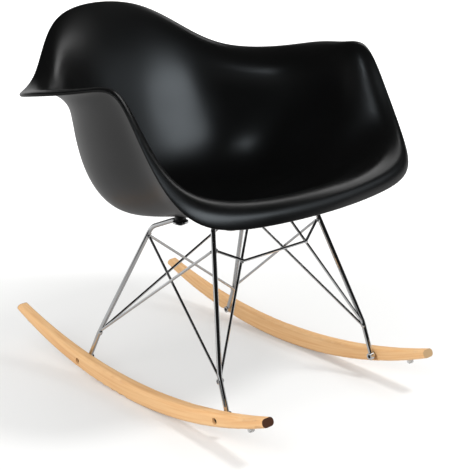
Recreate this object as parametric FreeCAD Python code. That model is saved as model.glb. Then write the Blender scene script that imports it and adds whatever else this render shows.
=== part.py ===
import FreeCAD
import Part
import math
import os

# A moulded plastic armchair shell on a welded wire base with two wooden rockers.
# Millimetres, +Z up. The origin is on the floor, midway between the rockers, below the line
# where they touch it at rest. The sitter faces -Y, so the sitter's left hand is at +X.
# Pieces that come in pairs are made at +X and mirrored.

V = FreeCAD.Vector

# Seat shell
SHELL_WIDTH = 624.0             # across the arms, at the rim
SHELL_DEPTH = 597.0             # front edge to back, at the rim
SHELL_RISE = 323.0              # seat floor to the top of the back
SHELL_WALL = 5.5
SEAT_FLOOR_Z = 306.0            # inside face of the floor
SEAT_AXIS_Y = 10.0              # the sections of the shell turn about this upright axis
FLOOR_RING = 38.0               # radius of the flat middle of the floor
LIP_BULGE = 1.4                 # how far the crowned edge stands out past the rim

# Rockers
ROCKER_SPREAD = 357.2           # between their middle planes
ROCKER_THICK = 22.0
ROCKER_LENGTH = 694.6
ROCKER_RADIUS = 900.0           # of the running face
ROCKER_MID_DEPTH = 31.0
ROCKER_END_DEPTH = 13.8
ROCKER_EDGE = 6.4               # rounding of the long edges
FRONT_FOOT_Y = -232.0
REAR_FOOT_Y = 150.0

# Wire base
ROD_DIA = 8.0                   # legs and seat rails
BRACE_DIA = 4.6
ROD_BEND = 17.0                 # bend radius of the rods below the seat
CORNER_BEND = 10.0              # bend radius at the top of the front legs
RAIL_BEND = 28.0                # bend radius at the top of the rear legs
LEG_BEND = 45.0                 # bend radius of the small bend low on each leg
TIE_BEND = 9.0
FOOT_CLEAR = 1.1                # gap between a leg and its rocker
BASE_TOP_Z = 307.5              # middle of the mount plates
LOW_SPREAD_FRONT = 321.2        # between the front legs at their low bends
LOW_SPREAD_REAR = 313.0
FRONT_LOW_BEND = (-214.2, 101.0)            # y, z
REAR_LOW_BEND = (121.9, 80.0)
TOP_SPREAD_FRONT = 211.6
FRONT_TOP_BEND = (-146.7, 324.0)            # y, z
CROSSBAR_BEND = (78.0, -156.0, 311.0)       # x, y, z where the crossbar turns level
REAR_TOP_BEND = (104.7, 17.6, 284.9)        # x, y, z
REAR_RAIL_BEND_Y = -39.6        # where the rear rails turn level
REAR_BRACE_Z = (77.0, 271.0)    # welds on the rear legs, low and high
SIDE_DOWN_Z = (269.2, 94.6)     # side brace from high on the rear leg to low on the front leg
SIDE_UP_Z = 81.9                # side brace from low on the rear leg to the end of the tie
STRUT_LOW_Z = 96.2
STRUT_TOP_X = 40.8
TIE_Z = 259.0
TIE_END_Z = 284.4
TIE_RUN = 16.0                  # from the bend beside the leg to the side brace
TIE_SNUG = 2.2                  # its bend cuts the corner, so the corner is this much nearer the leg

# Seat mounts
MOUNT_X_REAR = 100.0
MOUNT_Y_REAR = -56.5
MOUNT_X_FRONT = 62.0
PLATE_DIA = 26.0
PLATE_THICK = 3.0
PLATE_BITE = 3.0                # how far a mount plate is let into its rod
PAD_THICK = 3.5
BOSS_DIA = 19.0
INSERT_DIA = 8.6
INSERT_LENGTH = 5.8
SEAT_SCREW_DIA = 6.0
SEAT_SCREW_HEAD_DIA = 12.0
SEAT_SCREW_HEAD = 3.6
SCREW_PLAY = 0.6                # clearance hole less the shank

# Feet
FERRULE_DIA = 12.0
FERRULE_SEAT = 4.0              # how deep a ferrule stands in its rocker
FERRULE_INSET = 1.5             # how far a ferrule passes its leg on the inner side
SLOT_PLAY = 1.2
SLOT_FORWARD = 3.6              # the slot runs on past the ferrule, to the front
SLOT_DOWN = 2.7                 # and down in line with the leg
BOLT_DIA = 6.0
BOLT_HEAD_DIA = 10.0
BOLT_HEAD = 4.0
COUNTERBORE_DIA = 10.8
COUNTERBORE_DEPTH = 8.0
HEX_SOCKET = 4.0

# Glides under the rocker ends
GLIDE_FRONT_INSET = 42.3        # from the rocker's front end
GLIDE_REAR_INSET = 29.3
GLIDE_DIA = 11.0
GLIDE_HEIGHT = 6.5
GLIDE_EDGE = 1.8
GLIDE_SCREW_DIA = 3.0
GLIDE_SCREW_HEAD_DIA = 5.6
GLIDE_SCREW_HEAD = 2.2
GLIDE_SCREW_GRIP = 9.0          # length in the wood
GLIDE_HEAD_SUNK = 1.2

# Sections of the shell, from the front middle round the sitter's left to the back middle.
# Each has its rim point (x, y, height above the floor) and then the section below the rim as
# (distance from the seat axis, height above the floor): toe of the wall, knee, low wall,
# high wall, flare and crest. Drawn for the width, depth and rise in DRAWN and stretched to fit.
DRAWN = (624.0, 597.0, 323.0)
SECTIONS = [
    ((0, -304, 46), (105, 3), (160, 12), (212, 36), (252, 62), (288, 83), (311, 77)),
    ((109, -295, 47), (105, 3), (163, 13), (219, 37), (260, 63), (298, 84), (320, 78)),
    ((205, -272, 59), (108, 6), (170, 20), (232, 44), (286, 74), (324, 98), (345, 90)),
    ((248, -228, 104), (110, 10), (168, 27), (230, 62), (288, 96), (320, 126), (335, 125)),
    ((259, -179, 181), (108, 12), (160, 29), (218, 68), (262, 126), (292, 188), (310, 194)),
    ((265, -131, 245), (105, 11), (156, 28), (210, 70), (246, 144), (266, 231), (285, 255)),
    ((287, -63, 246), (104, 6), (156, 22), (206, 76), (235, 158), (247, 232), (270, 251)),
    ((312, 29, 235), (103, 2), (159, 14), (200, 72), (221, 147), (228, 216), (268, 243)),
    ((278, 107, 224), (103, 1), (160, 12), (197, 70), (210, 142), (209, 202), (252, 232)),
    ((209, 182, 230), (103, 0), (159, 12), (194, 70), (207, 147), (212, 212), (243, 238)),
    ((152, 237, 267), (102, 0), (155, 12), (186, 70), (208, 162), (231, 239), (257, 271)),
    ((88, 278, 309), (100, 0), (151, 11), (181, 70), (211, 182), (245, 269), (268, 303)),
    ((0, 293, 323), (100, 0), (149, 11), (179, 70), (212, 189), (247, 279), (269, 313)),
]
CREST_FOLLOW = 0.8              # share of the rim's own correction that the crest takes
RIM_ROUNDS = 60

# Values that follow from the sizes above
ROCKER_X = ROCKER_SPREAD / 2
INNER_FACE_X = ROCKER_X - ROCKER_THICK / 2
OUTER_FACE_X = ROCKER_X + ROCKER_THICK / 2
FOOT_X = INNER_FACE_X - FOOT_CLEAR - ROD_DIA / 2
GLIDE_FRONT_Y = GLIDE_FRONT_INSET - ROCKER_LENGTH / 2
GLIDE_REAR_Y = ROCKER_LENGTH / 2 - GLIDE_REAR_INSET
PLATE_TOP_Z = BASE_TOP_Z + PLATE_THICK / 2
BOSS_Z = PLATE_TOP_Z + PAD_THICK
PAD_DIA = PLATE_DIA - 2 * PLATE_BITE
MOUNT_Y_FRONT = CROSSBAR_BEND[1] + ROD_DIA / 2 + PLATE_DIA / 2 - PLATE_BITE
MOUNTS = {
    "rear_left": (MOUNT_X_REAR, MOUNT_Y_REAR),
    "rear_right": (-MOUNT_X_REAR, MOUNT_Y_REAR),
    "front_left": (MOUNT_X_FRONT, MOUNT_Y_FRONT),
    "front_right": (-MOUNT_X_FRONT, MOUNT_Y_FRONT),
}


def save(name, shape):
    shape.exportStep("parts/" + name + ".step")
    print(name, len(shape.Solids), round(shape.Volume), shape.isValid())


def mirrored(shape):
    return shape.mirror(V(0, 0, 0), V(1, 0, 0))


def flipped(point):
    return V(-point.x, point.y, point.z)


def cylinder(start, end, diameter):
    """A round bar from one point to another."""
    axis = end - start
    return Part.makeCylinder(diameter / 2, axis.Length, start, axis)


def at_height(start, end, z):
    """The point at one height on the line through two points."""
    return start + (end - start) * ((z - start.z) / (end.z - start.z))


def bent_path(points, radius):
    """Straight runs joined by arcs that touch them."""
    edges = []
    here = points[0]
    for before, corner, after in zip(points, points[1:], points[2:]):
        back = (before - corner).normalize()
        on = (after - corner).normalize()
        half_turn = (math.pi - back.getAngle(on)) / 2
        reach = radius * math.tan(half_turn)
        middle = (back + on).normalize() * (radius / math.cos(half_turn) - radius)
        arc_start = corner + back * reach
        arc_end = corner + on * reach
        edges.append(Part.makeLine(here, arc_start))
        edges.append(Part.Arc(arc_start, corner + middle, arc_end).toShape())
        here = arc_end
    edges.append(Part.makeLine(here, points[-1]))
    return Part.Wire(edges)


def bent_rod(points, diameter, radius):
    """A round rod along straight runs and bends."""
    start_circle = Part.makeCircle(diameter / 2, points[0], points[1] - points[0])
    return bent_path(points, radius).makePipeShell([Part.Wire(start_circle)], True, False)


def largest(shape):
    """The main piece of a cut shape, without the crumbs beyond a weld."""
    return max(shape.Solids, key=lambda solid: solid.Volume)


def welded(rod, carriers):
    """A rod trimmed to the faces of the rods that carry it."""
    for carrier in carriers:
        rod = rod.cut(carrier)
    return largest(rod)


# Seat shell

def ring_through(points):
    """Control points whose round cubic curve passes through the given points."""
    ring = [V(p) for p in points]
    count = len(ring)
    for _ in range(RIM_ROUNDS):
        step = []
        for i in range(count):
            curve = (ring[i - 1] + ring[i] * 4 + ring[(i + 1) % count]) * (1 / 6)
            step.append(ring[i] + points[i] - curve)
        ring = step
    return ring


def shell_section(station):
    """Control points of one section of the inner face, from the floor out to the rim."""
    scale_x = SHELL_WIDTH / DRAWN[0]
    scale_y = SHELL_DEPTH / DRAWN[1]
    scale_z = SHELL_RISE / DRAWN[2]
    rim_x, rim_y, rim_z = station[0]
    out_y = rim_y - SEAT_AXIS_Y
    reach = math.hypot(rim_x, out_y)
    wall = list(station[1:]) + [(reach, rim_z)]
    section = []
    for radius in (FLOOR_RING, (FLOOR_RING + wall[0][0]) / 2):
        section.append(V(rim_x / reach * radius, SEAT_AXIS_Y + out_y / reach * radius, SEAT_FLOOR_Z))
    for radius, height in wall:
        x = rim_x / reach * radius * scale_x
        y = SEAT_AXIS_Y + out_y / reach * radius * scale_y
        section.append(V(x, y, SEAT_FLOOR_Z + height * scale_z))
    return section


def shell_net():
    """Control net of the inner face: sections all the way round, each from floor to rim."""
    half = [shell_section(station) for station in SECTIONS]
    other_half = [[flipped(point) for point in section] for section in half[-2:0:-1]]
    net = half + other_half
    rim = [section[-1] for section in net]
    for section, ring_point in zip(net, ring_through(rim)):
        section[-2] = section[-2] + (ring_point - section[-1]) * CREST_FOLLOW
        section[-1] = ring_point
    return net


def outward(net, i, j):
    """Direction square to the net, pointing out of the shell."""
    across = net[(i + 1) % len(net)][j] - net[i - 1][j]
    low = max(j - 1, 0)
    high = min(j + 1, len(net[i]) - 1)
    along = net[i][high] - net[i][low]
    return across.cross(along).normalize()


def ring_surface(net, degree):
    """A face closed round the seat, free at its two borders."""
    around = len(net)
    rows = len(net[0])
    spans = rows - degree
    surface = Part.BSplineSurface()
    surface.buildFromPolesMultsKnots(
        net,
        [1] * (around + 1),
        [degree + 1] + [1] * (spans - 1) + [degree + 1],
        [float(k) for k in range(around + 1)],
        [float(k) for k in range(spans + 1)],
        True, False, 3, degree)
    return surface


def floor_cap(surface):
    """Flat middle of the floor, inside the first ring of the surface."""
    return Part.Face(Part.Wire(surface.vIso(0).toShape()))


def shell_skin():
    """The shell alone: inner face, outer face, crowned edge and the two floor caps."""
    inner = shell_net()
    outer = []
    inner_edge = []
    outer_edge = []
    for i, section in enumerate(inner):
        shifted = [point + outward(inner, i, j) * SHELL_WALL for j, point in enumerate(section)]
        outer.append(shifted)
        past_rim = (section[-1] - section[-2]).normalize() * LIP_BULGE
        ridge = (section[-1] + shifted[-1]) * 0.5 + past_rim
        inner_edge.append([section[-1], ridge])
        outer_edge.append([ridge, shifted[-1]])
    inner_face = ring_surface(inner, 3)
    outer_face = ring_surface(outer, 3)
    faces = [inner_face.toShape(), outer_face.toShape()]
    faces += [ring_surface(edge, 1).toShape() for edge in (inner_edge, outer_edge)]
    faces += [floor_cap(inner_face), floor_cap(outer_face)]
    skin = Part.makeShell(faces)
    skin.sewShape()
    solid = Part.makeSolid(skin)
    if solid.Volume < 0:
        solid.reverse()
    return solid


def seat_shell():
    """The shell with its four moulded bosses, the pads' seats and the blind holes."""
    skin = shell_skin()
    body = skin
    for x, y in MOUNTS.values():
        column = Part.makeCylinder(BOSS_DIA / 2, SHELL_RISE / 2, V(x, y, BOSS_Z))
        pieces = column.cut(skin).Solids
        boss = min(pieces, key=lambda piece: piece.CenterOfMass.z)
        body = body.fuse(boss)
    for x, y in MOUNTS.values():
        body = body.cut(Part.makeCylinder(PAD_DIA / 2, PAD_THICK, V(x, y, PLATE_TOP_Z)))
        body = body.cut(Part.makeCylinder(INSERT_DIA / 2, INSERT_LENGTH, V(x, y, BOSS_Z)))
    return body


# Rockers

def rocker_under(y):
    """Height of the running face."""
    return ROCKER_RADIUS - math.sqrt(ROCKER_RADIUS ** 2 - y ** 2)


def rocker_corners():
    """Top middle, bottom end and top end of the outline, as (y, z)."""
    turn = math.asin(ROCKER_LENGTH / 2 / ROCKER_RADIUS)
    ends = []
    for radius in (ROCKER_RADIUS, ROCKER_RADIUS - ROCKER_END_DEPTH):
        ends.append((radius * math.sin(turn), ROCKER_RADIUS - radius * math.cos(turn)))
    return (0, ROCKER_MID_DEPTH), ends[0], ends[1]


def rocker_over(y):
    """Height of the upper face, an arc through the middle and the ends."""
    top, _, end = rocker_corners()
    rise = end[1] - top[1]
    radius = (end[0] ** 2 + rise ** 2) / (2 * rise)
    return top[1] + radius - math.sqrt(radius ** 2 - y ** 2)


def foot_z(y):
    return (rocker_under(y) + rocker_over(y)) / 2


FRONT_FOOT = V(FOOT_X, FRONT_FOOT_Y, foot_z(FRONT_FOOT_Y))
REAR_FOOT = V(FOOT_X, REAR_FOOT_Y, foot_z(REAR_FOOT_Y))
FRONT_LOW = V(LOW_SPREAD_FRONT / 2, *FRONT_LOW_BEND)
REAR_LOW = V(LOW_SPREAD_REAR / 2, *REAR_LOW_BEND)
FRONT_TOP = V(TOP_SPREAD_FRONT / 2, *FRONT_TOP_BEND)
BAR_BEND = V(*CROSSBAR_BEND)
REAR_TOP = V(*REAR_TOP_BEND)


def foot_slot(foot, low_bend):
    """Slot in the inner face: round the ferrule, then on past it to the front and down."""
    width = FERRULE_DIA + SLOT_PLAY
    lean = V(0, foot.y - low_bend.y, foot.z - low_bend.z).normalize()
    seat = V(INNER_FACE_X, foot.y, foot.z)
    end = seat + lean * SLOT_DOWN - V(0, SLOT_FORWARD, 0)
    depth = V(FERRULE_SEAT, 0, 0)
    slot = Part.makeCylinder(width / 2, FERRULE_SEAT, seat, V(1, 0, 0))
    slot = slot.fuse(Part.makeCylinder(width / 2 - SLOT_PLAY, FERRULE_SEAT, end, V(1, 0, 0)))
    side = (end - seat).cross(V(1, 0, 0)).normalize()
    near = side * (width / 2)
    far = side * (width / 2 - SLOT_PLAY)
    outline = Part.makePolygon([seat + near, end + far, end - far, seat - near, seat + near])
    return slot.fuse(Part.Face(outline).extrude(depth))


def rocker():
    """Bent beech board, deepest in the middle, with its bolt holes and foot slots."""
    top, low_end, high_end = rocker_corners()
    low_rear = V(0, *low_end)
    high_rear = V(0, *high_end)
    low_front = V(0, -low_end[0], low_end[1])
    high_front = V(0, -high_end[0], high_end[1])
    outline = [
        Part.Arc(low_front, V(0, 0, 0), low_rear).toShape(),
        Part.makeLine(low_rear, high_rear),
        Part.Arc(high_rear, V(0, 0, top[1]), high_front).toShape(),
        Part.makeLine(high_front, low_front),
    ]
    board = Part.Face(Part.Wire(outline)).extrude(V(ROCKER_THICK, 0, 0))
    board.translate(V(INNER_FACE_X, 0, 0))
    long_edges = [edge for edge in board.Edges if edge.Length > ROCKER_LENGTH / 2]
    board = board.makeFillet(ROCKER_EDGE, long_edges)
    for foot, low_bend in ((FRONT_FOOT, FRONT_LOW), (REAR_FOOT, REAR_LOW)):
        inner = V(INNER_FACE_X, foot.y, foot.z)
        outer = V(OUTER_FACE_X, foot.y, foot.z)
        board = board.cut(cylinder(inner, outer, BOLT_DIA + SCREW_PLAY))
        board = board.cut(cylinder(outer - V(COUNTERBORE_DEPTH, 0, 0), outer, COUNTERBORE_DIA))
        board = board.cut(foot_slot(foot, low_bend))
    for y in (GLIDE_FRONT_Y, GLIDE_REAR_Y):
        seat, down = glide_seat(y)
        board = board.cut(cylinder(seat, seat - down * GLIDE_SCREW_GRIP, GLIDE_SCREW_DIA))
    return board


def glide_seat(y):
    """Middle of a glide's place on the running face, and the way straight out of it."""
    seat = V(ROCKER_X, y, rocker_under(y))
    return seat, (seat - V(ROCKER_X, 0, ROCKER_RADIUS)).normalize()


def glide(y, board):
    """Round clear button with a sunk screw head."""
    seat, down = glide_seat(y)
    button = cylinder(seat - down, seat + down * GLIDE_HEIGHT, GLIDE_DIA)
    rim = [edge for edge in button.Edges if edge.Curve.TypeId == "Part::GeomCircle"]
    lower_rim = min(rim, key=lambda edge: edge.CenterOfMass.z)
    button = button.makeChamfer(GLIDE_EDGE, [lower_rim]).cut(board)
    button = largest(button)
    screw = glide_screw(y)
    sink = seat + down * (GLIDE_HEIGHT - GLIDE_HEAD_SUNK)
    recess = cylinder(sink, sink + down * GLIDE_HEIGHT, GLIDE_SCREW_HEAD_DIA)
    return button.cut(screw).cut(recess)


def glide_screw(y):
    seat, down = glide_seat(y)
    head_end = seat + down * (GLIDE_HEIGHT - GLIDE_HEAD_SUNK)
    head = cylinder(head_end - down * GLIDE_SCREW_HEAD, head_end, GLIDE_SCREW_HEAD_DIA)
    return head.fuse(cylinder(seat - down * GLIDE_SCREW_GRIP, head_end, GLIDE_SCREW_DIA)).removeSplitter()


# Feet

def ferrule(foot):
    """Short threaded barrel on the end of a leg, standing in the rocker's slot."""
    start = V(foot.x - ROD_DIA / 2 - FERRULE_INSET, foot.y, foot.z)
    end = V(INNER_FACE_X + FERRULE_SEAT, foot.y, foot.z)
    return cylinder(start, end, FERRULE_DIA).cut(cylinder(start, end, BOLT_DIA))


def hex_socket(centre, axis, depth):
    """Six-sided recess for a key."""
    side = axis.cross(V(0, 1, 0)).normalize()
    up = side.cross(axis).normalize()
    corner = HEX_SOCKET / math.sqrt(3)
    points = []
    for k in range(7):
        angle = math.radians(60 * k)
        points.append(centre + side * (corner * math.cos(angle)) + up * (corner * math.sin(angle)))
    return Part.Face(Part.makePolygon(points)).extrude(axis * depth)


def rocker_bolt(foot):
    """Bolt from the rocker's outer face into the ferrule."""
    seat = V(OUTER_FACE_X - COUNTERBORE_DEPTH, foot.y, foot.z)
    head_end = seat + V(BOLT_HEAD, 0, 0)
    tip = V(foot.x - ROD_DIA / 2, foot.y, foot.z)
    head = cylinder(seat, head_end, BOLT_HEAD_DIA)
    outer_rim = max(head.Edges, key=lambda edge: edge.CenterOfMass.x)
    head = head.makeFillet(BOLT_HEAD / 3, [outer_rim])
    bolt = head.fuse(cylinder(tip, seat, BOLT_DIA))
    return bolt.cut(hex_socket(head_end, V(-1, 0, 0), BOLT_HEAD / 2))


# Seat mounts

def mount_plate(x, y):
    centre = V(x, y, PLATE_TOP_Z - PLATE_THICK)
    plate = Part.makeCylinder(PLATE_DIA / 2, PLATE_THICK, centre)
    return plate.cut(Part.makeCylinder((SEAT_SCREW_DIA + SCREW_PLAY) / 2, PLATE_THICK, centre))


def mount_pad(x, y):
    centre = V(x, y, PLATE_TOP_Z)
    pad = Part.makeCylinder(PAD_DIA / 2, PAD_THICK, centre)
    return pad.cut(Part.makeCylinder((SEAT_SCREW_DIA + SCREW_PLAY) / 2, PAD_THICK, centre))


def seat_insert(x, y):
    sleeve = Part.makeCylinder(INSERT_DIA / 2, INSERT_LENGTH, V(x, y, BOSS_Z))
    return sleeve.cut(Part.makeCylinder(SEAT_SCREW_DIA / 2, INSERT_LENGTH, V(x, y, BOSS_Z)))


def seat_screw(x, y):
    """Pan-head screw up through the plate and the pad into the insert."""
    under = PLATE_TOP_Z - PLATE_THICK
    head = Part.makeCylinder(SEAT_SCREW_HEAD_DIA / 2, SEAT_SCREW_HEAD, V(x, y, under - SEAT_SCREW_HEAD))
    lower_rim = min(head.Edges, key=lambda edge: edge.CenterOfMass.z)
    head = head.makeFillet(SEAT_SCREW_HEAD / 3, [lower_rim])
    shank = Part.makeCylinder(SEAT_SCREW_DIA / 2, BOSS_Z + INSERT_LENGTH - under, V(x, y, under))
    screw = head.fuse(shank)
    return screw.cut(hex_socket(V(x, y, under - SEAT_SCREW_HEAD), V(0, 0, 1), SEAT_SCREW_HEAD / 2))


# Wire base

def crossing_braces(start_a, end_a, start_b, end_b):
    """Two thin rods that cross and touch, moved apart by half their diameter each."""
    apart = (end_a - start_a).cross(end_b - start_b).normalize()
    gap = (start_b - start_a).dot(apart)
    shift_a = apart * ((gap - BRACE_DIA) / 2)
    shift_b = apart * ((BRACE_DIA - gap) / 2)
    rod_a = cylinder(start_a + shift_a, end_a + shift_a, BRACE_DIA)
    rod_b = cylinder(start_b + shift_b, end_b + shift_b, BRACE_DIA)
    return rod_a, rod_b


def beside(start, end, other_start, other_end):
    """Both ends of a thin rod, moved sideways until it just touches one that it crosses."""
    apart = (end - start).cross(other_end - other_start).normalize()
    gap = (other_start - start).dot(apart)
    if gap < 0:
        apart = apart * -1
        gap = -gap
    shift = apart * (gap - BRACE_DIA)
    return start + shift, end + shift


def front_frame(front_barrel):
    """Left front leg, bent over at the top, and the crossbar between the two legs."""
    middle = (FRONT_LOW + FRONT_TOP) * 0.5
    split = (FRONT_TOP + BAR_BEND) * 0.5
    leg = bent_rod([FRONT_FOOT, FRONT_LOW, middle], ROD_DIA, LEG_BEND)
    top = bent_rod([middle, FRONT_TOP, split], ROD_DIA, CORNER_BEND)
    leg = welded(leg.fuse(top).removeSplitter(), [front_barrel])
    crossbar = bent_rod([split, BAR_BEND, flipped(BAR_BEND), flipped(split)], ROD_DIA, ROD_BEND)
    return leg, crossbar


def rear_frame(rear_barrel):
    """Left rear leg and the rail that runs forward from its top to the rear mount."""
    rail_bend = V(MOUNT_X_REAR, REAR_RAIL_BEND_Y, BASE_TOP_Z)
    rail_end = V(MOUNT_X_REAR, MOUNT_Y_REAR + PLATE_DIA / 2 - PLATE_BITE, BASE_TOP_Z)
    middle = (REAR_LOW + REAR_TOP) * 0.5
    split = (REAR_TOP + rail_bend) * 0.5
    leg = bent_rod([REAR_FOOT, REAR_LOW, middle], ROD_DIA, LEG_BEND)
    top = bent_rod([middle, REAR_TOP, split], ROD_DIA, RAIL_BEND)
    leg = welded(leg.fuse(top).removeSplitter(), [rear_barrel])
    rail = bent_rod([split, rail_bend, rail_end], ROD_DIA, ROD_BEND)
    return leg, rail


def tie_weld():
    """Where the tie lies against the left front leg, on the side towards the seat's middle."""
    on_leg = at_height(FRONT_LOW, FRONT_TOP, TIE_END_Z)
    inward = V(-on_leg.x, -on_leg.y, 0).normalize()
    return on_leg + inward * ((ROD_DIA + BRACE_DIA) / 2 - TIE_SNUG)


def front_tie(strut_start, strut_end, side_start):
    """Bent wire across the front: before both struts, and behind each leg to the side brace."""
    strut_here = at_height(strut_start, strut_end, TIE_Z)
    forward = (strut_end - strut_start).cross(V(1, 0, 0)).normalize()
    if forward.y > 0:
        forward = forward * -1
    corner = strut_here + forward * BRACE_DIA - V(BRACE_DIA / 2, 0, 0)
    weld = tie_weld()
    end = weld + (side_start - weld).normalize() * TIE_RUN
    half = [end, weld, corner]
    points = half + [flipped(point) for point in reversed(half)]
    return bent_rod(points, BRACE_DIA, TIE_BEND), end


def main():
    os.makedirs("parts", exist_ok=True)
    save("seat_shell", seat_shell())
    save("seat_inserts", Part.makeCompound([seat_insert(x, y) for x, y in MOUNTS.values()]))
    save("seat_screws", Part.makeCompound([seat_screw(x, y) for x, y in MOUNTS.values()]))
    plates = {}
    for place, (x, y) in MOUNTS.items():
        plates[place] = mount_plate(x, y)
        save("mount_plate_" + place, plates[place])
        save("mount_pad_" + place, mount_pad(x, y))

    board = rocker()
    front_barrel = ferrule(FRONT_FOOT)
    rear_barrel = ferrule(REAR_FOOT)
    reach = V(FERRULE_DIA, 0, 0)
    front_leg, crossbar = front_frame(cylinder(FRONT_FOOT - reach, FRONT_FOOT + reach, FERRULE_DIA))
    rear_leg, rail = rear_frame(cylinder(REAR_FOOT - reach, REAR_FOOT + reach, FERRULE_DIA))
    crossbar = welded(crossbar, [plates["front_left"], plates["front_right"]])
    rail = welded(rail, [plates["rear_left"]])

    strut_start = at_height(FRONT_LOW, FRONT_TOP, STRUT_LOW_Z)
    strut_end = V(STRUT_TOP_X, BAR_BEND.y, BAR_BEND.z)
    strut = welded(cylinder(strut_start, strut_end, BRACE_DIA), [front_leg, crossbar])
    side_start = at_height(REAR_LOW, REAR_TOP, SIDE_UP_Z)
    tie, tie_end = front_tie(strut_start, strut_end, side_start)
    tie = welded(tie, [front_leg, mirrored(front_leg), strut, mirrored(strut)])
    side_up = welded(cylinder(side_start, tie_end, BRACE_DIA), [rear_leg])

    high_weld = at_height(REAR_LOW, REAR_TOP, SIDE_DOWN_Z[0])
    low_weld = at_height(FRONT_LOW, FRONT_TOP, SIDE_DOWN_Z[1])
    high_weld, low_weld = beside(high_weld, low_weld, side_start, tie_end)
    side_down = welded(cylinder(high_weld, low_weld, BRACE_DIA), [front_leg, rear_leg])

    rear_start = at_height(REAR_LOW, REAR_TOP, REAR_BRACE_Z[0])
    rear_end = flipped(at_height(REAR_LOW, REAR_TOP, REAR_BRACE_Z[1]))
    rear_rising, rear_falling = crossing_braces(
        rear_start, rear_end, flipped(rear_start), flipped(rear_end))
    beside_rear = [rear_leg, mirrored(rear_leg), side_down, mirrored(side_down)]

    pairs = {
        "rocker": board,
        "front_ferrule": front_barrel,
        "rear_ferrule": rear_barrel,
        "front_leg": front_leg,
        "rear_leg": rear_leg,
        "seat_rail": rail,
        "front_strut": strut,
        "side_brace_down": side_down,
        "side_brace_up": side_up,
        "front_glide": glide(GLIDE_FRONT_Y, board),
        "rear_glide": glide(GLIDE_REAR_Y, board),
    }
    for name, shape in pairs.items():
        save(name + "_left", shape)
        save(name + "_right", mirrored(shape))
    save("front_crossbar", crossbar)
    save("front_tie", tie)
    save("rear_brace_a", welded(rear_rising, beside_rear))
    save("rear_brace_b", welded(rear_falling, beside_rear))

    bolts = [rocker_bolt(FRONT_FOOT), rocker_bolt(REAR_FOOT)]
    save("rocker_bolts", Part.makeCompound(bolts + [mirrored(bolt) for bolt in bolts]))
    screws = [glide_screw(GLIDE_FRONT_Y), glide_screw(GLIDE_REAR_Y)]
    save("glide_screws", Part.makeCompound(screws + [mirrored(screw) for screw in screws]))


main()
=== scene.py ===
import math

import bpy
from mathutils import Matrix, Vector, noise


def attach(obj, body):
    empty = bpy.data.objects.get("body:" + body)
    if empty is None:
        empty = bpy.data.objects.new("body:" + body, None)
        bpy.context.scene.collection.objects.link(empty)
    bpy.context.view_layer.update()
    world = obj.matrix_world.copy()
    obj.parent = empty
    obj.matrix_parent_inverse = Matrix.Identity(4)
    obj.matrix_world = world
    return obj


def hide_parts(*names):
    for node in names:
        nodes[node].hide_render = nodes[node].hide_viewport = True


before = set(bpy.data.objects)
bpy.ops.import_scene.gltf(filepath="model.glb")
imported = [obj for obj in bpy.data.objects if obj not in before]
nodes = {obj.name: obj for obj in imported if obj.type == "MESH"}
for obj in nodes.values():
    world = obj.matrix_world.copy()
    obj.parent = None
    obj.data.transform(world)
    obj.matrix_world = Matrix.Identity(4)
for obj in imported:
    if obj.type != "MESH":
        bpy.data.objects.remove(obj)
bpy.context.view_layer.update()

# %% [markdown]
# A rocking chair: a black moulded shell on a base of chromed wire, on two bent beech rockers.
# The CAD model holds the rods, the rockers and the fasteners, at sizes that were worked out
# from the photograph. Its rockers came out a few millimetres too shallow, and Blender may not
# change that, because the two models have to agree. Blender gives every piece its finish, and
# makes again the few pieces whose look depends on soft edges: the shell with its rounded rim,
# its four bosses, the rubber pads and the weld beads.

MM = 0.001

# %% [markdown]
# An operator works on everything that is selected, so each piece starts from an empty
# selection. When a piece is shaped, its place is applied to its mesh: the object then sits at
# the origin, and a pattern on Object coordinates has the same millimetres on every piece.

# %% Small helpers for modelling


def start_fresh():
    """Leaves edit mode and deselects everything."""
    if bpy.context.object and bpy.context.object.mode != "OBJECT":
        bpy.ops.object.mode_set(mode="OBJECT")
    bpy.ops.object.select_all(action="DESELECT")


def select_faces(piece, test):
    """In edit mode: selects the faces whose middle and normal pass the test."""
    bpy.ops.mesh.select_mode(type="FACE")
    bpy.ops.mesh.select_all(action="DESELECT")
    bpy.ops.object.mode_set(mode="OBJECT")
    for face in piece.data.polygons:
        face.select = test(face.center, face.normal)
    bpy.ops.object.mode_set(mode="EDIT")


def apply_place(piece):
    """Puts the object's place and turn into its mesh."""
    start_fresh()
    piece.select_set(True)
    bpy.context.view_layer.objects.active = piece
    bpy.ops.object.transform_apply(location=True, rotation=True, scale=True)


def ride_root(piece, material):
    """Gives a finished piece its material and fixes it to the chair."""
    piece.data.materials.clear()
    piece.data.materials.append(material)
    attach(piece, "root")


# %% [markdown]
# A material is a small graph of nodes. One function adds a node, sets what it is given and
# links its inputs, so that each finish below reads as a short recipe. Colours are written as
# sRGB hex, as a picture editor shows them, and are turned to the linear values that light
# needs.

# %% Colours and nodes


def colour(hex_text):
    """Turns an sRGB hex colour to linear red, green, blue and alpha, by sRGB's own formula."""
    values = []
    for start in (1, 3, 5):
        channel = int(hex_text[start:start + 2], 16) / 255
        if channel <= 0.04045:
            values.append(channel / 12.92)
        else:
            values.append(((channel + 0.055) / 1.055) ** 2.4)
    return (*values, 1)


def fill_inputs(tree, node, inputs):
    """Links an input to the socket it is given, or sets its value."""
    for name, value in inputs.items():
        if isinstance(value, bpy.types.NodeSocket):
            tree.links.new(value, node.inputs[name])
        else:
            node.inputs[name].default_value = value


def add_node(tree, kind, settings=None, inputs=None):
    """Adds a node, sets its properties, and fills its inputs."""
    node = tree.nodes.new(kind)
    for name, value in (settings or {}).items():
        setattr(node, name, value)
    fill_inputs(tree, node, inputs or {})
    return node


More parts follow.
